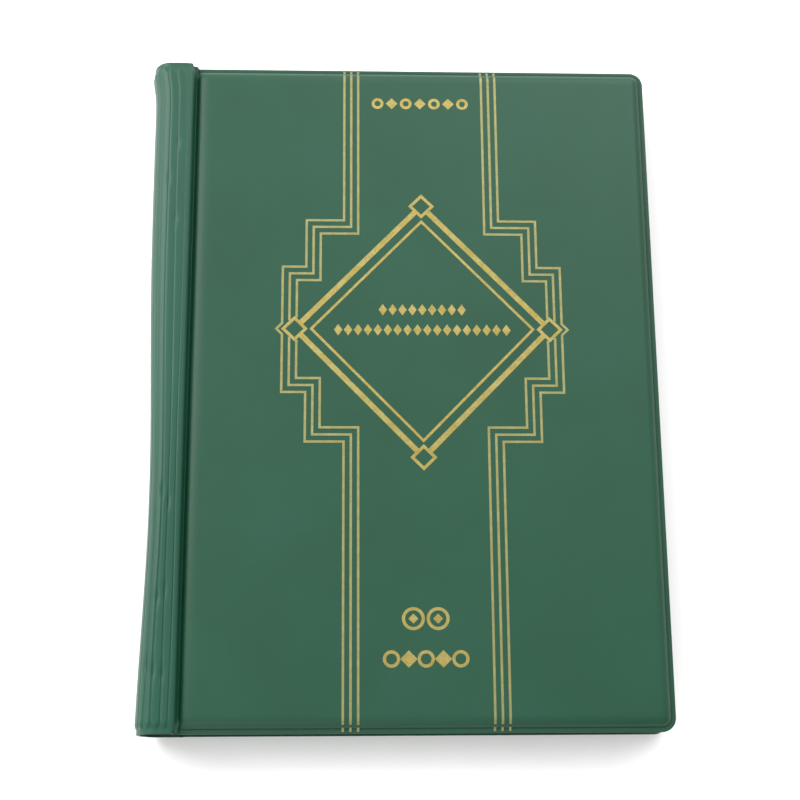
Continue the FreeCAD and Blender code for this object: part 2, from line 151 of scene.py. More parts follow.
@dataclass(frozen=True)
class CalenderedVinyl:
    """Plasticised PVC sheet, calendered with a fine grain: semi-gloss, slightly uneven sheen."""

    name: str
    shade: str
    light: str
    roughness: float = 0.40
    # Real grain is about 0.3 mm; drawn at 0.8 mm so that it still shows at full view.
    grain_mm: float = 0.8
    grain_depth: float = 0.05
    fibre_mm: float = 0.36
    cloud_mm: float = 26.0

    def build(self) -> bpy.types.Material:
        """Make the material: clouded pigment, fine pebble grain and patchy sheen.

        Returns:
            The finished material.
        """
        material, tree, place = new_tree(self.name)
        cloud = add_node(tree, "ShaderNodeTexNoise",
                         {"Scale": per_metre(self.cloud_mm), "Detail": 4.0, "Roughness": 0.55},
                         {"Vector": place})
        tint = add_node(tree, "ShaderNodeValToRGB", {}, {"Fac": cloud.outputs["Fac"]})
        tint.color_ramp.elements[0].position = 0.3
        tint.color_ramp.elements[0].color = linear(self.shade)
        tint.color_ramp.elements[1].position = 0.7
        tint.color_ramp.elements[1].color = linear(self.light)
        pebble = add_node(tree, "ShaderNodeTexVoronoi",
                          {"Scale": per_metre(self.grain_mm), "Randomness": 1.0},
                          {"Vector": place})
        fibre = add_node(tree, "ShaderNodeTexNoise",
                         {"Scale": per_metre(self.fibre_mm), "Detail": 3.0},
                         {"Vector": place})
        grain = add_node(tree, "ShaderNodeMath", {"operation": "MULTIPLY"},
                         {0: pebble.outputs["Distance"], 1: fibre.outputs["Fac"]})
        bump = add_node(tree, "ShaderNodeBump",
                        {"Strength": 0.35, "Distance": self.grain_depth * MM},
                        {"Height": grain.outputs["Value"]})
        sheen = add_node(tree, "ShaderNodeMapRange",
                         {"To Min": self.roughness - 0.04, "To Max": self.roughness + 0.05},
                         {"Value": cloud.outputs["Fac"]})
        shader = add_node(tree, "ShaderNodeBsdfPrincipled",
                          {"IOR": 1.53, "Specular IOR Level": 0.27},
                          {"Base Color": tint.outputs["Color"], "Normal": bump.outputs["Normal"],
                           "Roughness": sheen.outputs["Result"]})
        add_node(tree, "ShaderNodeOutputMaterial", {}, {"Surface": shader.outputs["BSDF"]})
        return material


@dataclass(frozen=True)
class HotFoil:
    """Gold-coloured hot-stamping foil on vinyl: thin metal that breaks up a little in the grain."""

    name: str
    gold: str
    pale: str
    bare: str
    wear: float
    roughness: float = 0.5
    mottle_mm: float = 2.5
    # Real breaks are under 0.1 mm; drawn at 0.5 mm so that they still show at full view.
    speck_mm: float = 0.5

    def build(self) -> bpy.types.Material:
        """Make the material: mottled gold, with specks where the film shows through.

        Returns:
            The finished material.
        """
        material, tree, place = new_tree(self.name)
        mottle = add_node(tree, "ShaderNodeTexNoise",
                          {"Scale": per_metre(self.mottle_mm), "Detail": 3.0}, {"Vector": place})
        gold = add_node(tree, "ShaderNodeValToRGB", {}, {"Fac": mottle.outputs["Fac"]})
        gold.color_ramp.elements[0].position = 0.35
        gold.color_ramp.elements[0].color = linear(self.gold)
        gold.color_ramp.elements[1].position = 0.68
        gold.color_ramp.elements[1].color = linear(self.pale)
        speck = add_node(tree, "ShaderNodeTexNoise",
                         {"Scale": per_metre(self.speck_mm), "Detail": 2.0}, {"Vector": place})
        worn = add_node(tree, "ShaderNodeMapRange",
                        {"From Min": 0.5 - self.wear, "From Max": 0.38 - self.wear,
                         "To Min": 0.0, "To Max": 0.8}, {"Value": speck.outputs["Fac"]})
        colour = add_node(tree, "ShaderNodeMix", {"data_type": "RGBA"},
                          {0: worn.outputs["Result"], 6: gold.outputs["Color"]})
        colour.inputs[7].default_value = linear(self.bare)
        metal = add_node(tree, "ShaderNodeMath", {"operation": "SUBTRACT", 0: 0.75},
                         {1: worn.outputs["Result"]})
        bump = add_node(tree, "ShaderNodeBump", {"Strength": 0.3, "Distance": 0.03 * MM},
                        {"Height": speck.outputs["Fac"]})
        shader = add_node(tree, "ShaderNodeBsdfPrincipled", {"Roughness": self.roughness},
                          {"Base Color": colour.outputs[2], "Metallic": metal.outputs["Value"],
                           "Normal": bump.outputs["Normal"]})
        add_node(tree, "ShaderNodeOutputMaterial", {}, {"Surface": shader.outputs["BSDF"]})
        return material


@dataclass(frozen=True)
class ClearVinyl:
    """Clear flexible PVC, cast smooth: milky in the stack, with faint handling haze."""

    name: str
    tint: str
    glint: str
    alpha: float
    roughness: float = 0.16
    haze_mm: float = 45.0

    def build(self) -> bpy.types.Material:
        """Make the material: see-through film with soft haze and gentle waves.

        Returns:
            The finished material.
        """
        material, tree, place = new_tree(self.name)
        haze = add_node(tree, "ShaderNodeTexNoise",
                        {"Scale": per_metre(self.haze_mm), "Detail": 2.0}, {"Vector": place})
        cover = add_node(tree, "ShaderNodeMapRange",
                         {"To Min": self.alpha - 0.03, "To Max": self.alpha + 0.03},
                         {"Value": haze.outputs["Fac"]})
        tone = add_node(tree, "ShaderNodeValToRGB", {}, {"Fac": haze.outputs["Fac"]})
        tone.color_ramp.elements[0].color = linear(self.tint)
        tone.color_ramp.elements[1].color = linear(self.glint)
        bump = add_node(tree, "ShaderNodeBump", {"Strength": 0.15, "Distance": 0.3 * MM},
                        {"Height": haze.outputs["Fac"]})
        shader = add_node(tree, "ShaderNodeBsdfPrincipled",
                          {"Roughness": self.roughness, "IOR": 1.53},
                          {"Base Color": tone.outputs["Color"], "Alpha": cover.outputs["Result"],
                           "Normal": bump.outputs["Normal"]})
        add_node(tree, "ShaderNodeOutputMaterial", {}, {"Surface": shader.outputs["BSDF"]})
        return material


@dataclass(frozen=True)
class PressedFill:
    """Greyboard or open foam: matt filling with fibres or cells, seen only when cut open."""

    name: str
    dark: str
    light: str
    cell_mm: float
    depth_mm: float

    def build(self) -> bpy.types.Material:
        """Make the material: speckled tone and a coarse matt relief.

        Returns:
            The finished material.
        """
        material, tree, place = new_tree(self.name)
        cell = add_node(tree, "ShaderNodeTexVoronoi", {"Scale": per_metre(self.cell_mm)},
                        {"Vector": place})
        tone = add_node(tree, "ShaderNodeValToRGB", {}, {"Fac": cell.outputs["Distance"]})
        tone.color_ramp.elements[0].color = linear(self.dark)
        tone.color_ramp.elements[1].color = linear(self.light)
        bump = add_node(tree, "ShaderNodeBump", {"Strength": 0.6, "Distance": self.depth_mm * MM},
                        {"Height": cell.outputs["Distance"]})
        shader = add_node(tree, "ShaderNodeBsdfPrincipled", {"Roughness": 0.9},
                          {"Base Color": tone.outputs["Color"], "Normal": bump.outputs["Normal"]})
        add_node(tree, "ShaderNodeOutputMaterial", {}, {"Surface": shader.outputs["BSDF"]})
        return material


@dataclass
class Palette:
    """Every finish of the album, each built once."""

    cover: bpy.types.Material = field(default_factory=lambda: CalenderedVinyl(
        "green_pvc_cover", "#103E2A", "#12422F").build())
    # The spine is the cover's vinyl in a lighter copy: its paler base colour is painted sheen,
    # standing in for the brighter haze that light gives the rolled spine.
    spine: bpy.types.Material = field(default_factory=lambda: CalenderedVinyl(
        "green_pvc_spine", "#134332", "#154636", roughness=0.42).build())
    lining: bpy.types.Material = field(default_factory=lambda: CalenderedVinyl(
        "green_pvc_lining", "#0F3826", "#113C29", roughness=0.5, grain_mm=1.2,
        fibre_mm=0.54).build())
    bold_foil: bpy.types.Material = field(default_factory=lambda: HotFoil(
        "gold_foil_bold", "#90803D", "#9C8E55", "#56623A", 0.05).build())
    fine_foil: bpy.types.Material = field(default_factory=lambda: HotFoil(
        "gold_foil_fine", "#827C4C", "#8C875A", "#536948", 0.04).build())
    clear: bpy.types.Material = field(default_factory=lambda: ClearVinyl(
        "clear_pvc_film", "#BFCED1", "#CEDADC", 0.15).build())
    flap: bpy.types.Material = field(default_factory=lambda: ClearVinyl(
        "clear_pvc_flap", "#B4C6CA", "#C4D3D6", 0.22, roughness=0.22).build())
    board: bpy.types.Material = field(default_factory=lambda: PressedFill(
        "greyboard", "#8A8379", "#A39C91", 0.7, 0.05).build())
    foam: bpy.types.Material = field(default_factory=lambda: PressedFill(
        "open_cell_foam", "#C9C8C2", "#E6E5E0", 0.5, 0.2).build())


# ------------------------------------------------------------------ mesh helpers
def make_piece(name: str, points: Sequence | np.ndarray, faces: Iterable[Sequence[int]],
               material: bpy.types.Material, smooth: bool = True) -> bpy.types.Object:
    """Make a mesh object at the origin with its place in its mesh.

    Args:
        name: the piece's name.
        points: vertex positions in metres.
        faces: vertex indices of each face.
        material: its finish.
        smooth: whether its faces are shaded smooth.

    Returns:
        The new object, linked to the scene.
    """
    mesh = bpy.data.meshes.new(name)
    mesh.from_pydata([tuple(map(float, p)) for p in points], [], [tuple(f) for f in faces])
    mesh.validate()
    mesh.update()
    if smooth:
        mesh.shade_smooth()
    mesh.materials.append(material)
    item = bpy.data.objects.new(name, mesh)
    bpy.context.scene.collection.objects.link(item)
    return item


def grid_faces(rows: int, columns: int, start: int = 0, flip: bool = False) -> list[tuple]:
    """Quads of a grid of vertices numbered row by row.

    Args:
        rows: vertices along the first direction.
        columns: vertices along the second direction.
        start: number of the first vertex.
        flip: whether the faces look the other way.

    Returns:
        Vertex indices of each quad.
    """
    faces = []
    for i in range(rows - 1):
        for j in range(columns - 1):
            a = start + i * columns + j
            quad = (a, a + columns, a + columns + 1, a + 1)
            faces.append(quad[::-1] if flip else quad)
    return faces


def shell_faces(rows: int, columns: int, flip: bool = False) -> list[tuple]:
    """Faces of a closed shell between two equal grids, one numbered after the other.

    Args:
        rows: vertices along the first direction.
        columns: vertices along the second direction.
        flip: whether the shell is turned inside out.

    Returns:
        Vertex indices of each quad of both grids and of the wall round their edge.
    """
    size = rows * columns
    faces = grid_faces(rows, columns) + grid_faces(rows, columns, size, True)
    edge = [(i, 0) for i in range(rows)] + [(rows - 1, j) for j in range(1, columns)]
    edge += [(i, columns - 1) for i in range(rows - 2, -1, -1)]
    edge += [(0, j) for j in range(columns - 2, 0, -1)]
    ring = [i * columns + j for i, j in edge]
    for a, b in zip(ring, ring[1:] + ring[:1]):
        faces.append((b, a, a + size, b + size))
    return [face[::-1] for face in faces] if flip else faces


def ease(value: np.ndarray | float) -> np.ndarray:
    """A smooth step from 0 to 1 of a value between 0 and 1."""
    held = np.clip(value, 0.0, 1.0)
    return held * held * (3 - 2 * held)


def smooth_path(path: Sequence[Point]) -> list[Point]:
    """Points of a Catmull-Rom curve through a few places.

    Args:
        path: the places to pass through.

    Returns:
        The denser path, with both ends kept.
    """
    points = [np.array(p) for p in path]
    ends = [2 * points[0] - points[1]] + points + [2 * points[-1] - points[-2]]
    made = []
    for n in range(1, len(ends) - 2):
        a, b, c, d = ends[n - 1:n + 3]
        for k in range(PATH_STEPS):
            t = k / PATH_STEPS
            made.append(tuple(0.5 * (2 * b + (c - a) * t + (2 * a - 5 * b + 4 * c - d) * t ** 2
                                     + (3 * b - 3 * c + d - a) * t ** 3)))
    made.append(tuple(points[-1]))
    return made


def film_strip(name: str, paths: Sequence[Sequence[Point]], places: np.ndarray, above: float,
               below: float, flip: bool, material: bpy.types.Material) -> bpy.types.Object:
    """A film that follows a smooth path at each place along the spine.

    Args:
        name: the piece's name.
        paths: places across and levels, one path for each place along.
        places: the places along.
        above: upper face's height over the path.
        below: lower face's depth under the path.
        flip: whether the film is turned inside out.
        material: its finish.

    Returns:
        The new piece.
    """
    dense = [smooth_path(path) for path in paths]
    upper = [(x, y, z + above) for y, path in zip(places, dense) for x, z in path]
    lower = [(x, y, z - below) for y, path in zip(places, dense) for x, z in path]
    faces = shell_faces(len(places), len(dense[0]), flip=flip)
    return make_piece(name, upper + lower, faces, material)


# ------------------------------------------------------------------ padded covers
@dataclass
class PaddedCover:
    """One cover: outer film drawn over a foam pad and welded to the lining round its edge."""

    side: Side
    rim: float = 1.25 * MM
    rim_gauge: float = 0.45 * MM
    gauge: float = 0.40 * MM
    shoulder: float = 3.2 * MM
    hinge_shoulder: float = 4.6 * MM
    hinge_drop: float = 1.35 * MM
    overhang: float = 0.25 * MM
    crown: float = 0.35 * MM
    corner: float = 4.0 * MM
    least_corner: float = 0.05 * MM
    # Side of the grid's corner blocks that are bent round the corners.
    block: float = 10.0 * MM
    weld_depth: float = 0.07 * MM
    weld_half: float = 0.28 * MM
    rim_round: float = 0.25 * MM
    # Share of the shoulder's rise that the weld still reaches.
    weld_share: float = 0.12
    # How soon the pad swells off the rim, and how softly it levels out.
    swell_start: float = 1 / 1.3
    swell_end: float = 2.2
    # How flat the pad's middle stays across, and along.
    flat_across: float = 0.6
    flat_along: int = 4
    wave: float = 0.05 * MM
    wave_across: float = 23 * MM
    wave_along: float = 31 * MM
    pad_gap: float = 0.08 * MM

    def __post_init__(self) -> None:
        """Take the cover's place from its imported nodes."""
        self.low, self.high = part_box(f"{self.side.value}_cover_skin")
        board_low, board_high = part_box(f"{self.side.value}_cover_board")
        self.base = self.low.z if self.side is Side.FRONT else self.high.z
        self.edge = self.low.x - self.overhang
        self.full = self.high.z - self.low.z
        self.board = board_high.z - board_low.z

    def inset(self, x: np.ndarray, y: np.ndarray) -> np.ndarray:
        """Distance from the head, tail and fore-edge outline, with its rounded corners.

        Args:
            x: places across.
            y: places along.

        Returns:
            The distance inwards at each place.
        """
        from_fore = self.high.x - x
        from_end = self.high.y - np.abs(y)
        inside = np.minimum(from_fore, from_end)
        corner = (from_fore < self.corner) & (from_end < self.corner)
        reach = np.hypot(self.corner - from_fore, self.corner - from_end)
        return np.where(corner, self.corner - reach, inside)

    def height(self, x: np.ndarray, y: np.ndarray) -> np.ndarray:
        """Height of the outer film above the lining at a place on the cover.

        Args:
            x: places across.
            y: places along.

        Returns:
            The height at each place.
        """
        inset = self.inset(x, y)
        rise = np.clip((inset - self.rim) / self.shoulder, 0.0, 1.0)
        swell = (1 - (1 - rise) ** self.swell_end) ** self.swell_start
        from_hinge = np.clip((x - self.edge) / self.hinge_shoulder, 0.0, 1.0)
        dip = self.hinge_drop * (1 - np.sqrt(1 - (1 - from_hinge) ** 2))
        across = np.clip((x - self.edge) / (self.high.x - self.edge), 0, 1)
        along = y / self.high.y
        puff = ((4 * across * (1 - across)) ** self.flat_across
                * np.clip(1 - along ** self.flat_along, 0, 1))
        waves = (self.wave * np.sin(x / self.wave_across + 1.3)
                 * np.sin(y / self.wave_along + 0.4))
        top = self.full - self.wave - self.crown * (1 - puff) + waves
        edge = np.clip(inset / self.rim_round, 0.0, 1.0)
        rim = self.rim_gauge * (0.55 + 0.45 * np.sqrt(1 - (1 - edge) ** 2))
        weld = self.weld_depth * np.exp(-((inset - self.rim) / self.weld_half) ** 2)
        return rim - weld * (rise < self.weld_share) + (top - self.rim_gauge - dip) * swell

    def lines(self) -> tuple[np.ndarray, np.ndarray]:
        """Grid lines across and along, close together where the film bends.

        Both close sets are as long as a corner block.

        Returns:
            Places across and places along.
        """
        near = np.array([0, .08, .25, .5, .8, 1.0, 1.15, 1.25, 1.35, 1.5, 1.7, 2.0, 2.4, 2.9,
                         3.5, 4.2, 5.2, 6.6, 8.3, 10.0]) * MM
        hinge = np.array([0, .12, .3, .55, .85, 1.2, 1.6, 2.1, 2.7, 3.6, 5.0, 7.0, 10.0]) * MM
        x0, x1, y1 = self.edge, self.high.x, self.high.y
        middle = np.linspace(x0 + self.block, x1 - self.block, 50)[1:-1]
        length = np.linspace(-y1 + self.block, y1 - self.block, 74)[1:-1]
        return (np.concatenate([x0 + hinge, middle, x1 - near[::-1]]),
                np.concatenate([-y1 + near, length, y1 - near[::-1]]))

    def rounded(self, x: np.ndarray, y: np.ndarray) -> tuple[np.ndarray, np.ndarray]:
        """Bend the grid's fore-edge corner blocks round the outline's rounded corners.

        Args:
            x: places across.
            y: places along.

        Returns:
            The bent places across and along.
        """
        from_fore = self.high.x - x
        from_end = self.high.y - np.abs(y)
        ring = np.minimum(from_fore, from_end)
        radius = np.maximum(self.corner - ring, self.least_corner)
        side = self.block - ring
        # Each ring of the grid is followed from the corner's middle: half of its arc, then
        # straight on.
        half_arc = radius * math.pi / 4
        path = half_arc + np.maximum(side - radius, 0)
        share = np.clip((np.maximum(from_fore, from_end) - ring) / np.maximum(side, 1e-9), 0, 1)
        reach = share * path
        turn = np.clip(reach / radius, 0, math.pi / 4)
        on_arc = reach < half_arc
        along = np.where(on_arc, radius - radius * np.sin(math.pi / 4 - turn),
                         radius + reach - half_arc)
        off = np.where(on_arc, radius - radius * np.cos(math.pi / 4 - turn), 0.0)
        fore_side = from_fore <= from_end
        new_fore = ring + np.where(fore_side, off, along)
        new_end = ring + np.where(fore_side, along, off)
        bent = (from_fore < self.block) & (from_end < self.block)
        return (np.where(bent, self.high.x - new_fore, x),
                np.where(bent, np.sign(y) * (self.high.y - new_end), y))

    def outer_z(self, x: np.ndarray, y: np.ndarray) -> np.ndarray:
        """Level of the outer film's face in the album's frame."""
        return self.base + self.side.outward * self.height(x, y)

    def shell(self, name: str, x: np.ndarray, y: np.ndarray, top: np.ndarray, under: np.ndarray,
              material: bpy.types.Material) -> bpy.types.Object:
        """A closed shell between two heights above the lining.

        Args:
            name: the piece's name.
            x: places across.
            y: places along.
            top: height of its outer face at each place.
            under: height of its inner face at each place.
            material: its finish.

        Returns:
            The new piece.
        """
        faces = shell_faces(*x.shape, flip=self.side is Side.BACK)
        layers = [np.stack([x, y, self.base + self.side.outward * height], axis=-1).reshape(-1, 3)
                  for height in (top, under)]
        return make_piece(name, np.concatenate(layers), faces, material)

    def build_film(self, material: bpy.types.Material) -> bpy.types.Object:
        """The outer film, a shell that stands over the pad and meets the lining at its rim.

        Args:
            material: its finish.

        Returns:
            The new piece.
        """
        x, y = self.rounded(*np.meshgrid(*self.lines(), indexing="ij"))
        top = self.height(x, y)
        hollow = ease((self.inset(x, y) - self.rim - 0.3 * MM) / (0.8 * MM))
        under = np.maximum(top - self.gauge, 0.0) * hollow
        under[0, :] = 0.0
        piece = self.shell(f"{self.side.value}_cover_padded_film", x, y, top, under, material)
        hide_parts(f"{self.side.value}_cover_skin")
        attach(piece, f"{self.side.value}_cover")
        return piece

    def build_foam(self, material: bpy.types.Material) -> bpy.types.Object:
        """The foam pad between the greyboard and the outer film.

        Args:
            material: its finish.

        Returns:
            The new piece.
        """
        low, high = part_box(f"{self.side.value}_cover_foam")
        x, y = np.meshgrid(np.linspace(low.x, high.x, 60), np.linspace(low.y, high.y, 80),
                           indexing="ij")
        # The pad is cut a trace short, so that its ends clear the film.
        y = y * (1 - 0.004 * np.clip(np.abs(y) / high.y, 0, 1))
        top = np.maximum(self.height(x, y) - self.gauge - self.pad_gap, self.board + 0.06 * MM)
        floor = np.full_like(top, self.board + 0.01 * MM)
        piece = self.shell(f"{self.side.value}_cover_foam_pad", x, y, top, floor, material)
        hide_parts(f"{self.side.value}_cover_foam")
        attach(piece, f"{self.side.value}_cover")
        return piece

    def build(self, palette: Palette) -> None:
        """Make the cover's soft pieces.

        Args:
            palette: the album's finishes.
        """
        self.build_film(palette.cover)
        self.build_foam(palette.foam)
        LOG.info("%s cover built", self.side.value)


# ------------------------------------------------------------------ foil
@dataclass
class FoilPattern:
    """Line ornament stamped on the front cover, lying on the film's own surface."""

    surface: Surface
    axis_x: float
    head: float
    gauge: float = 0.05 * MM
    rise: float = 15.6 * MM
    fine: float = 0.70 * MM
    bold: float = 1.6 * MM
    link: float = 0.9 * MM
    pitch: float = 2.1 * MM
    reach: float = 23.0 * MM
    step: float = 34.1 * MM
    wing: float = 41.0 * MM
    step_y: float = 33.9 * MM
    wing_y: float = 19.2 * MM
    wide: float = 37.4 * MM
    tall: float = 38.5 * MM
    link_size: float = 3.9 * MM
    inner: float = 4.9 * MM
    inner_line: float = 0.765 * MM
    chevron: float = 1.7 * MM
    # How far the border lines stop short of the cover's head and tail.
    end_gap: float = 0.5 * MM
    # Longest stretch between two cross lines of a band, so that it follows the film.
    spacing: float = 1.0 * MM
    # Keeps a mitre from running far past a sharp corner: least cosine that it is worked out from.
    least_cosine: float = 0.3
    # Places from the head for the title, and from the tail for the ornaments at the foot.
    title_drop: float = 12.2 * MM
    foot_rise: float = 20.0 * MM
    coin_rise: float = 31.1 * MM
    # Half the distance between the two coins, and the half widths of a coin and of its bead.
    coin_x: float = 3.45 * MM
    coin: float = 3.2 * MM
    coin_bead: float = 1.4 * MM
    centre_rows: tuple[tuple[float, int], ...] = ((5.9 * MM, 9), (-0.3 * MM, 18))

    def ribbon(self, path: Sequence[Point], width: float, closed: bool) -> tuple[list, list]:
        """A flat band along a path with mitred corners, raised by the foil's own thickness.

        Args:
            path: places from the pattern's centre.
            width: the band's width.
            closed: whether the last place joins the first.

        Returns:
            Vertices and faces of the band.
        """
        points = [np.array(p) for p in path]
        count = len(points)
        lefts, rights = [], []
        for n, here in enumerate(points):
            before = points[n - 1] if n or closed else None
            after = points[(n + 1) % count] if n + 1 < count or closed else None
            ways = [w / np.linalg.norm(w) for w in
                    ([here - before] if before is not None else [])
                    + ([after - here] if after is not None else [])]
            normals = [np.array([-w[1], w[0]]) for w in ways]
            mitre = sum(normals)
            mitre = mitre / np.linalg.norm(mitre)
            mitre = mitre * (width / 2) / max(float(mitre @ normals[0]), self.least_cosine)
            lefts.append(here + mitre)
            rights.append(here - mitre)
        if closed:
            lefts.append(lefts[0])
            rights.append(rights[0])
        across = []
        for n in range(len(lefts) - 1):
            length = np.linalg.norm(lefts[n + 1] - lefts[n])
            steps = max(1, int(math.ceil(length / self.spacing)))
            for share in (k / steps for k in range(steps)):
                across.append((lefts[n] + (lefts[n + 1] - lefts[n]) * share,
                               rights[n] + (rights[n + 1] - rights[n]) * share))
        if not closed:
            across.append((lefts[-1], rights[-1]))
        return self.stamp(across, closed)

    def stamp(self, across: list, closed: bool) -> tuple[list, list]:
        """Lay cross lines on the cover and give them thickness.

        Args:
            across: left and right place of each cross line.
            closed: whether the last cross line joins the first.

        Returns:
            Vertices and faces.
        """
        flat = np.array([(a, (a + b) / 2, b) for a, b in across]).reshape(-1, 2)
        points = self.laid(flat)
        size = len(flat)
        rows = size // 3
        faces = []
        for n in range(rows if closed else rows - 1):
            a, b = 3 * n, 3 * ((n + 1) % rows)
            for k in (0, 1):
                faces.append((a + k, a + k + 1, b + k + 1, b + k))
                faces.append((b + k + size, b + k + 1 + size, a + k + 1 + size, a + k + size))
            faces.append((a, b, b + size, a + size))
            faces.append((b + 2, a + 2, a + 2 + size, b + 2 + size))
        if not closed:
            last = 3 * (rows - 1)
            for n, flip in ((0, False), (last, True)):
                for k in (0, 1):
                    quad = (n + k + 1, n + k, n + k + size, n + k + 1 + size)
                    faces.append(quad[::-1] if flip else quad)
        return points, faces

    def laid(self, places: np.ndarray) -> list[tuple]:
        """Vertices just over the film at each place, then just under it.

        Args:
            places: places from the pattern's centre, one row for each.

        Returns:
            Twice as many vertices as places.
        """
        x = places[:, 0] + self.axis_x
        y = np.clip(places[:, 1] + self.rise, -self.head, self.head)
        z = self.surface(x, y)
        return [*zip(x, y, z + self.gauge), *zip(x, y, z - self.gauge)]

    def bead(self, x: float, y: float, radius: float, tall: float = 1.0) -> tuple[list, list]:
        """A small filled diamond.

        Args:
            x: its middle across, from the pattern's centre.
            y: its middle along.
            radius: half of its width.
            tall: its height for each unit of width.

        Returns:
            Vertices and faces.
        """
        corners = self.diamond(x, y, radius, tall * radius)
        size = len(corners) + 1
        faces = []
        for n in range(len(corners)):
            a, b = n + 1, (n + 1) % len(corners) + 1
            faces += [(0, a, b), (size, b + size, a + size), (b, a, a + size, b + size)]
        return self.laid(np.array([(x, y)] + corners)), faces

    def ring(self, x: float, y: float, radius: float) -> tuple[list, list]:
        """A ring drawn with the thin line.

        Args:
            x: its middle across, from the pattern's centre.
            y: its middle along.
            radius: its outer radius.

        Returns:
            Vertices and faces.
        """
        middle = radius - self.link / 2
        turns = [2 * math.pi * n / RING_SIDES for n in range(RING_SIDES)]
        path = [(x + middle * math.cos(t), y + middle * math.sin(t)) for t in turns]
        return self.ribbon(path, self.link, True)

    def diamond(self, x: float, y: float, wide: float, tall: float) -> list[Point]:
        """Corners of a diamond about a place, anticlockwise from its right corner."""
        return [(x + wide, y), (x, y + tall), (x - wide, y), (x, y - tall)]

    def border(self, line: int, side: int) -> list[list[Point]]:
        """Paths of one border line: whole with a chevron, or broken at the side diamond.

        Args:
            line: 0 for the outer line, 1 and 2 for the lines inside it.
            side: +1 towards the fore-edge, -1 towards the spine.

        Returns:
            One path for the outer line, and two for each other line.
        """
        inset = line * self.pitch
        reach, step, wing = (v - inset for v in (self.reach, self.step, self.wing))
        step_y, wing_y = self.step_y - inset, self.wing_y - inset
        stop_y = self.head - self.end_gap
        upper = [(reach, stop_y - self.rise), (reach, step_y), (step, step_y), (step, wing_y),
                 (wing, wing_y)]
        lower = [(reach, -stop_y - self.rise)] + [(x, -y) for x, y in upper[1:]]
        if line == 0:
            vee = self.chevron
            paths = [upper + [(wing, vee), (wing + vee, 0), (wing, -vee)] + lower[::-1]]
        else:
            stop = self.link_size - abs(wing - self.wide) + 0.1 * MM
            paths = [upper + [(wing, stop)], lower + [(wing, -stop)]]
        return [[(side * x, y) for x, y in path] for path in paths]

    def bands(self) -> list[list[Point]]:
        """The four bold bands, each from one small diamond's side to the next one's.

        Returns:
            Both ends of each band.
        """
        half = self.link_size / 2
        return [[(sx * half, sy * (self.tall - half)), (sx * (self.wide - half), sy * half)]
                for sx in (1, -1) for sy in (1, -1)]

    def row(self, y: float, size: float, pitch: float, count: int, rings: bool = True,
            tall: float = 1.0) -> list:
        """A centred row of beads, or of rings and beads by turns.

        Args:
            y: the row's place from the pattern's centre.
            size: half of a bead's width.
            pitch: distance between two middles.
            count: how many shapes it has.
            rings: whether every other shape is a ring.
            tall: a bead's height for each unit of width.

        Returns:
            Vertices and faces of each shape.
        """
        made = []
        for n in range(count):
            x = (n - (count - 1) / 2) * pitch
            if rings and n % 2 == 0:
                made.append(self.ring(x, y, size))
            else:
                made.append(self.bead(x, y, size, tall))
        return made

    def motif(self, name: str, node: str, shapes: list, material: bpy.types.Material) -> None:
        """Join stamped shapes into one piece that stands for a foil node.

        Args:
            name: the piece's name.
            node: the node that it stands for.
            shapes: vertices and faces of each shape.
            material: its finish.
        """
        points: list = []
        faces: list = []
        for some_points, some_faces in shapes:
            start = len(points)
            points += some_points
            faces += [tuple(n + start for n in face) for face in some_faces]
        piece = make_piece(name, points, faces, material, smooth=False)
        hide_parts(node)
        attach(piece, "front_cover")

    def build(self, palette: Palette) -> None:
        """Stamp every motif.

        Args:
            palette: the album's finishes.
        """
        lines = [self.ribbon(path, self.fine, False) for side in (-1, 1) for line in range(3)
                 for path in self.border(line, side)]
        self.motif("border_lines_foil", "foil_border_lines", lines, palette.fine_foil)
        places = [(0, self.tall), (0, -self.tall), (self.wide, 0), (-self.wide, 0)]
        shapes = [self.ribbon(band, self.bold, False) for band in self.bands()]
        cut = self.link / 2 * math.sqrt(2)
        size = self.link_size - cut
        shapes += [self.ribbon(self.diamond(x, y, size, size), self.link, True)
                   for x, y in places]
        inside = self.diamond(0, 0, self.wide - self.inner, self.tall - self.inner)
        shapes.append(self.ribbon(inside, self.inner_line, True))
        self.motif("diamond_foil", "foil_diamond", shapes, palette.bold_foil)
        title = self.row(self.head - self.title_drop - self.rise, size=1.8 * MM, pitch=4.3 * MM,
                         count=7)
        self.motif("title_ornament_foil", "foil_title_ornament", title, palette.bold_foil)
        beads = [bead for y, count in self.centre_rows for bead in
                 self.row(y, size=1.25 * MM, pitch=2.9 * MM, count=count, rings=False, tall=1.4)]
        self.motif("centre_ornament_foil", "foil_centre_ornament", beads, palette.bold_foil)
        coin_y = self.coin_rise - self.head - self.rise
        foot = self.row(self.foot_rise - self.head - self.rise, size=2.4 * MM, pitch=4.8 * MM,
                        count=5)
        for x in (-self.coin_x, self.coin_x):
            foot += [self.ring(x, coin_y, self.coin), self.bead(x, coin_y, self.coin_bead)]
        self.motif("foot_ornament_foil", "foil_foot_ornament", foot, palette.bold_foil)
        LOG.info("foil built")


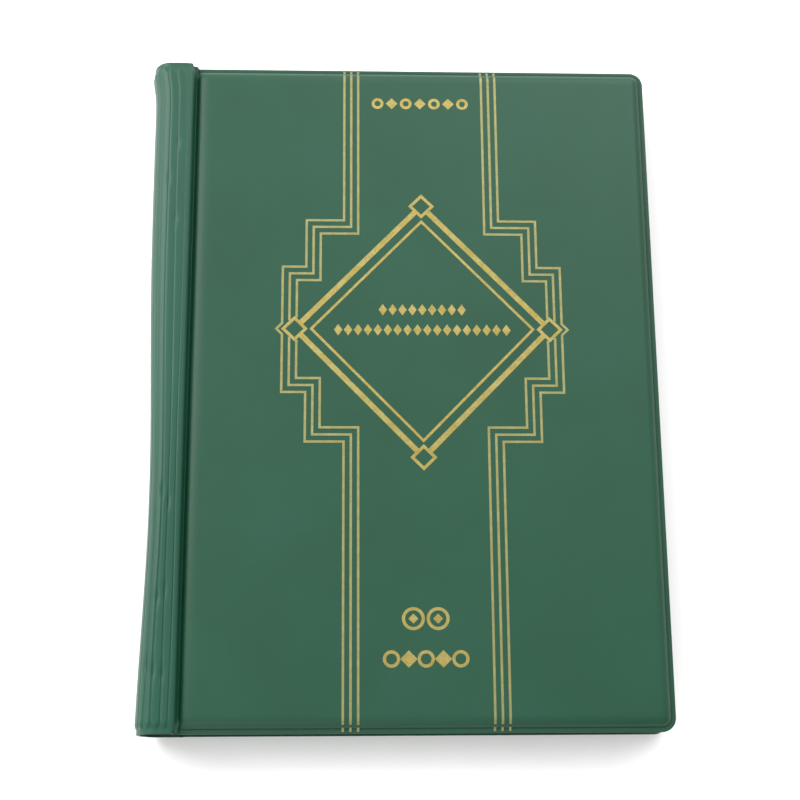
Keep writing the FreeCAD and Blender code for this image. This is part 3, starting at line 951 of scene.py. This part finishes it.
# ------------------------------------------------------------------ spine
@dataclass
class Spine:
    """The soft roll of film that joins the covers, pinched in by its weld grooves."""

    crest_reach: float = 6.0 * MM
    # How square the roll is at the front hinge, and how round it is beyond its crest.
    squareness: float = 5.0
    roundness: float = 2.2
    gauge: float = 0.6 * MM
    lining_gauge: float = 0.3 * MM
    waist: float = 0.17
    waist_y: float = -34.0 * MM
    waist_half: float = 52 * MM
    flare: float = 1.3 * MM
    flare_half: float = 7 * MM
    # The roll keeps its place this near to the hinges.
    held: float = 6 * MM
    # Welds on the top face, along the roll from the front hinge, and the last one's distance
    # from the back hinge.
    top_welds: tuple[float, ...] = (3.9 * MM, 6.4 * MM, 8.9 * MM, 11.4 * MM, 14.1 * MM)
    last_weld: float = 2.6 * MM
    dip_head: float = 0.10 * MM
    dip_tail: float = 0.24 * MM
    weld_half: float = 0.20 * MM
    wander: float = 0.22 * MM
    wander_along: float = 17 * MM
    pillow: float = 0.035 * MM
    kink_along: float = 1.6 * MM
    kink_across: float = 0.3
    # The pressed ends: depth, reach and length of the slope up to the roll.
    press: float = 0.55 * MM
    press_reach: float = 1.2 * MM
    press_slope: float = 1.9 * MM
    groove_half: float = 0.32 * MM
    hinge_gauge: float = 0.32 * MM
    # The groove's floor lies this far from the pivot, towards the leaves, at the spine's ends,
    # and this much further between them.
    groove_end: float = 0.3 * MM
    groove_more: float = 0.8 * MM
    # Small kinks left in the film by the welding bar: weld number, place in mm, depth in mm.
    kinks: tuple[tuple[int, int, float], ...] = (
        (2, 73, .30), (3, 62, .25), (2, 49, .25), (3, -33, .35), (2, -36, .30), (2, -61, .30),
        (3, -63, .35), (4, -82, .40), (3, -83, .40), (2, -84, .35), (5, 20, .25), (8, -10, .30),
        (10, 40, .25))

    def __post_init__(self) -> None:
        """Take the roll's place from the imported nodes."""
        self.low, self.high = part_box("spine_skin")
        joints = {joint["name"]: joint for joint in frame["record"]["behaviour"]["joints"]}
        self.front_pivot = joints["front_cover_hinge"]["pos_m"]
        self.back_pivot = joints["back_cover_hinge"]["pos_m"]
        self.hinge_x = self.front_pivot[0]
        self.curve = self.outline()
        steps = np.linalg.norm(np.diff(self.curve, axis=0), axis=1)
        self.reach = np.concatenate([[0.0], np.cumsum(steps)])

    def outline(self) -> np.ndarray:
        """The roll's outer line from the front hinge over the crest to the back hinge.

        Returns:
            Places across and levels, one row for each point.
        """
        near = self.hinge_x - self.groove_half
        crest = self.hinge_x - self.crest_reach
        front = self.front_pivot[2]
        middle = (self.high.z + self.low.z) / 2
        turns = np.linspace(0, math.pi / 2, 400)
        spans = (((crest, front), (near - crest, 0), (0, self.high.z - front),
                  self.squareness),
                 ((crest, middle), (0, self.high.z - middle), (self.low.x - crest, 0),
                  self.roundness),
                 ((crest, middle), (self.low.x - crest, 0), (0, self.low.z - middle),
                  self.roundness))
        lines = [np.array(centre) + np.outer(np.cos(turns) ** (2 / power), start)
                 + np.outer(np.sin(turns) ** (2 / power), end)
                 for centre, start, end, power in spans]
        flat = np.array([[x, self.low.z] for x in np.linspace(crest, near, 20)])
        return np.concatenate([lines[0], lines[1][1:], lines[2][1:], flat[1:]])

    def at(self, share: np.ndarray, y: np.ndarray, depth: float) -> np.ndarray:
        """Places on the roll at a share of its length and a place along the spine.

        Args:
            share: 0 at the front hinge to 1 at the back hinge.
            y: place along the spine.
            depth: how far inside the outer face.

        Returns:
            An array of positions with a last axis of three.
        """
        reach = share * self.reach[-1]
        step = 0.15 * MM
        (x, ahead_x, behind_x), (z, ahead_z, behind_z) = (
            [np.interp(np.clip(reach + move, 0, self.reach[-1]), self.reach, line)
             for move in (0, step, -step)] for line in self.curve.T)
        dx, dz = ahead_x - behind_x, ahead_z - behind_z
        length = np.hypot(dx, dz)
        move = depth + self.sink(share, y)
        x = x - dz / length * move
        z = z + dx / length * move
        squeeze = self.waist * np.exp(-((y - self.waist_y) / self.waist_half) ** 2)
        hold = ease((self.hinge_x - x) / self.held)
        flare = self.flare * np.exp(-((self.high.y - y) / self.flare_half) ** 2)
        x = x + ((self.hinge_x - x) * squeeze - flare) * hold
        return np.stack([x, y, z], axis=-1)

    def weld_share(self) -> np.ndarray:
        """Where the leaves are welded, closest on the top face.

        Returns:
            Shares of the roll's length.
        """
        top = np.array(self.top_welds)
        rest = np.linspace(top[-1], self.reach[-1] - self.last_weld, WELDS - len(top) + 1)[1:]
        return np.concatenate([top, rest]) / self.reach[-1]

    def sink(self, share: np.ndarray, y: np.ndarray) -> np.ndarray:
        """How far the film lies below the smooth roll: weld grooves, kinks and end welds.

        Args:
            share: 0 at the front hinge to 1 at the back hinge.
            y: place along the spine.

        Returns:
            The depth at each place.
        """
        welds = self.weld_share()
        phase = np.interp(share, np.concatenate([[0.0], welds, [1.0]]), np.arange(WELDS + 2))
        weld = np.clip(np.round(phase), 1, WELDS)
        away = (share - welds[weld.astype(int) - 1]) * self.reach[-1]
        # The welds are deeper, and wander more, from a little above the middle to the tail.
        tail = ease((40 * MM - y) / (110 * MM))
        more = 0.4 + 0.6 * tail
        depth = self.dip_head + (self.dip_tail - self.dip_head) * tail
        wander = self.wander * np.sin(y / self.wander_along + weld * 2.1) * more
        groove = depth * np.exp(-((away - wander) / self.weld_half) ** 2)
        pillow = self.pillow * (1 - np.sin(np.pi * (phase - np.floor(phase)))) * more
        total = groove + pillow
        for number, place, size in self.kinks:
            span = np.exp(-((y - place * MM) / self.kink_along) ** 2)
            near = np.exp(-((phase - number) / self.kink_across) ** 2)
            total = total + size * MM * span * near
        scallop = 1 + 0.3 * np.cos(2 * np.pi * phase)
        from_end = self.high.y - np.abs(y)
        press = 1 - ease((from_end - self.press_reach * scallop) / self.press_slope)
        return total * (1 - press) + self.press * press

    def rows(self) -> np.ndarray:
        """Lines across the roll, closer together at its ends.

        Returns:
            Their places along the spine.
        """
        ends = np.array([0, .25, .7, 1.2, 1.6, 2.0, 2.4, 2.8, 3.3, 4.0, 5.0]) * MM
        middle = np.arange(-self.high.y + 6.2 * MM, self.high.y - 6.2 * MM, 1.35 * MM)
        return np.concatenate([self.low.y + ends, middle, self.high.y - ends[::-1]])

    def stations(self) -> np.ndarray:
        """Lines along the roll, closer together at the front hinge and at each weld.

        Returns:
            Their shares of the roll's length.
        """
        even = np.linspace(0, 1, 110)
        near = np.array([-0.5, -0.3, -0.15, 0, 0.15, 0.3, 0.5]) * MM / self.reach[-1]
        welds = (self.weld_share()[:, None] + near).ravel()
        start = np.linspace(0, 0.08, 24)
        return np.unique(np.round(np.concatenate([even, welds, start]), 5))

    def layer(self, name: str, node: str, outer: float, inner: float,
              material: bpy.types.Material) -> bpy.types.Object:
        """One film of the roll between two depths.

        Args:
            name: the piece's name.
            node: the node that it stands for.
            outer: depth of its outer face.
            inner: depth of its inner face.
            material: its finish.

        Returns:
            The new piece.
        """
        share, y = np.meshgrid(self.stations(), self.rows(), indexing="ij")
        top = self.at(share, y, outer).reshape(-1, 3)
        under = self.at(share, y, inner).reshape(-1, 3)
        faces = shell_faces(*share.shape, flip=True)
        piece = make_piece(name, np.concatenate([top, under]), faces, material)
        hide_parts(node)
        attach(piece, "spine")
        return piece

    def hinge_film(self, cover: PaddedCover, material: bpy.types.Material) -> None:
        """The film across one hinge: it dips into the groove between the roll and the cover.

        Args:
            cover: the cover that it joins to the roll.
            material: its finish.
        """
        front = cover.side is Side.FRONT
        share = 0.0 if front else 1.0
        pivot = self.front_pivot if front else self.back_pivot
        y = self.rows()
        start = self.at(np.full_like(y, share), y, 0.12 * MM)
        way = cover.side.outward
        ends = ease((self.high.y - np.abs(y)) / (5 * MM))
        floor = pivot[2] - way * (self.groove_end + self.groove_more * ends)
        lip_x = cover.edge + np.array([0.10, 0.55]) * MM
        lips = [cover.outer_z(np.full_like(y, x), y) for x in lip_x]
        # From the roll's edge down to the groove's floor and up to just under the cover's film.
        paths = [[(start[n][0] - 0.25 * MM, start[n][2]),
                  (self.hinge_x - 0.28 * MM, (start[n][2] + 2 * floor[n]) / 3),
                  (self.hinge_x + 0.06 * MM, floor[n]),
                  (self.hinge_x + 0.34 * MM, (lips[0][n] + 2 * floor[n]) / 3),
                  (lip_x[0], lips[0][n] - way * 0.10 * MM),
                  (lip_x[1], lips[1][n] - way * 0.02 * MM)] for n in range(len(y))]
        piece = film_strip(f"{cover.side.value}_hinge_film", paths, y, 0.0,
                           way * self.hinge_gauge, front, material)
        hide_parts(f"{cover.side.value}_hinge_strip")
        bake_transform(piece)

    def margin(self, number: int, material: bpy.types.Material) -> None:
        """The film margin that carries one leaf from its weld in the roll.

        Args:
            number: the leaf's number, from the front.
            material: its finish.
        """
        low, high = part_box(f"leaf_{number:02d}_film")
        level = (low.z + high.z) / 2
        share = self.weld_share()[number]
        y = np.linspace(low.y + 2 * MM, high.y - 2 * MM, 40)
        weld = self.at(np.full_like(y, share), y, self.gauge + self.lining_gauge)
        last = np.array([low.x + 0.6 * MM, level])
        # A little thinner than the leaf, so that it slips inside it.
        half = (high.z - low.z) / 2 * 0.9
        paths = []
        for first in weld[:, ::2]:
            along = last - first
            paths.append([first, first + along * 0.35,
                          (last[0] - 2.4 * MM, level - along[1] * 0.18),
                          (last[0] - 0.8 * MM, level), last])
        piece = film_strip(f"leaf_{number:02d}_margin_film", paths, y, half, half, True, material)
        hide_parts(f"leaf_{number:02d}_margin")
        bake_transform(piece)

    def build(self, covers: Sequence[PaddedCover], palette: Palette) -> None:
        """Make the roll, its lining, both hinge films and every leaf margin.

        Args:
            covers: the front and the back cover.
            palette: the album's finishes.
        """
        self.layer("spine_rolled_film", "spine_skin", 0.0, self.gauge, palette.spine)
        self.layer("spine_inner_film", "spine_lining", self.gauge + 0.01 * MM,
                   self.gauge + self.lining_gauge, palette.lining)
        for cover in covers:
            self.hinge_film(cover, palette.cover)
        for number in range(1, LEAVES + 1):
            self.margin(number, palette.clear)
        LOG.info("spine built")


# ------------------------------------------------------------------ carried-over nodes
def dress_nodes(palette: Palette) -> None:
    """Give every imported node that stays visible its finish.

    Args:
        palette: the album's finishes.
    """
    rules = (("_board", palette.board), ("_lining", palette.lining), ("_flaps", palette.flap),
             ("_pockets", palette.clear), ("_film", palette.clear))
    for name, item in frame["nodes"].items():
        for ending, material in rules:
            if name.endswith(ending):
                item.data.materials.clear()
                item.data.materials.append(material)
                break


# ------------------------------------------------------------------ studio
@dataclass
class Studio:
    """Pale floor, soft lights and the camera."""

    # The lens sees about 29.5 degrees, from 0.44 m above the album and a little to its tail.
    camera_at: tuple = (-0.01718, -0.12116, 0.44099)
    turn_deg: tuple = (15.2455, -2.0885, -0.4130)
    lens_mm: float = 68.35
    floor_half: float = 40.0
    # Each lamp's name, place, side in metres and power in watts.
    lamps: tuple = (("window", (0.50, 0.95, 1.00), 0.9, 9.0),
                    ("left", (-0.55, 0.28, 0.45), 0.5, 5.0),
                    ("front", (-0.35, -0.95, 0.65), 0.8, 3.0))

    def build(self) -> None:
        """Make the floor, the lights and the camera."""
        self.floor()
        self.lights()
        data = bpy.data.cameras.new("view")
        data.lens = self.lens_mm
        data.sensor_width = 36.0
        camera = bpy.data.objects.new("view", data)
        camera.location = self.camera_at
        camera.rotation_euler = [math.radians(v) for v in self.turn_deg]
        bpy.context.scene.collection.objects.link(camera)
        bpy.context.scene.camera = camera

    def floor(self) -> None:
        """A plain pale floor under the album."""
        material, tree, place = new_tree("pale_floor")
        tone = add_node(tree, "ShaderNodeTexNoise", {"Scale": per_metre(60.0)},
                        {"Vector": place})
        ramp = add_node(tree, "ShaderNodeValToRGB", {}, {"Fac": tone.outputs["Fac"]})
        ramp.color_ramp.elements[0].color = linear("#F4F4F3")
        ramp.color_ramp.elements[1].color = linear("#F8F8F7")
        shader = add_node(tree, "ShaderNodeBsdfPrincipled", {"Roughness": 0.9},
                          {"Base Color": ramp.outputs["Color"]})
        add_node(tree, "ShaderNodeOutputMaterial", {}, {"Surface": shader.outputs["BSDF"]})
        half = self.floor_half
        points = [(-half, -half, 0), (half, -half, 0), (half, half, 0), (-half, half, 0)]
        plane = make_piece("floor", points, [(0, 1, 2, 3)], material, smooth=False)

    def lights(self) -> None:
        """A broad window beyond the head, two weaker fills and a pale surround."""
        for name, place, size, power in self.lamps:
            data = bpy.data.lights.new(name, "AREA")
            data.shape = "SQUARE"
            data.size = size
            data.energy = power
            lamp = bpy.data.objects.new(name, data)
            lamp.location = place
            lamp.rotation_euler = (-Vector(place)).to_track_quat("-Z", "Y").to_euler()
            bpy.context.scene.collection.objects.link(lamp)
        world = bpy.data.worlds.new("surround")
        world.use_nodes = True
        tree = world.node_tree
        place = add_node(tree, "ShaderNodeTexCoord").outputs["Generated"]
        towards = add_node(tree, "ShaderNodeVectorMath",
                           {"operation": "DOT_PRODUCT", 1: (-0.40, 0.90, 0.15)}, {0: place})
        glow = add_node(tree, "ShaderNodeMapRange",
                        {"From Min": -0.7, "From Max": 0.8, "To Min": 0.62, "To Max": 1.6},
                        {"Value": towards.outputs["Value"]})
        back = tree.nodes["Background"]
        back.inputs["Color"].default_value = linear("#FFFFFF")
        tree.links.new(glow.outputs["Result"], back.inputs["Strength"])
        bpy.context.scene.world = world
        bpy.context.scene.view_settings.view_transform = "Standard"


def main() -> None:
    """Build the album in order and report each part of it."""
    logging.basicConfig(level=logging.INFO, format="%(name)s: %(message)s")
    palette = Palette()
    covers = [PaddedCover(Side.FRONT), PaddedCover(Side.BACK)]
    for cover in covers:
        cover.build(palette)
    front = covers[0]
    axis_x = (front.low.x + front.high.x) / 2 - PATTERN_SHIFT
    FoilPattern(front.outer_z, axis_x, front.high.y).build(palette)
    Spine().build(covers, palette)
    dress_nodes(palette)
    Studio().build()


if __name__ == "__main__":
    main()
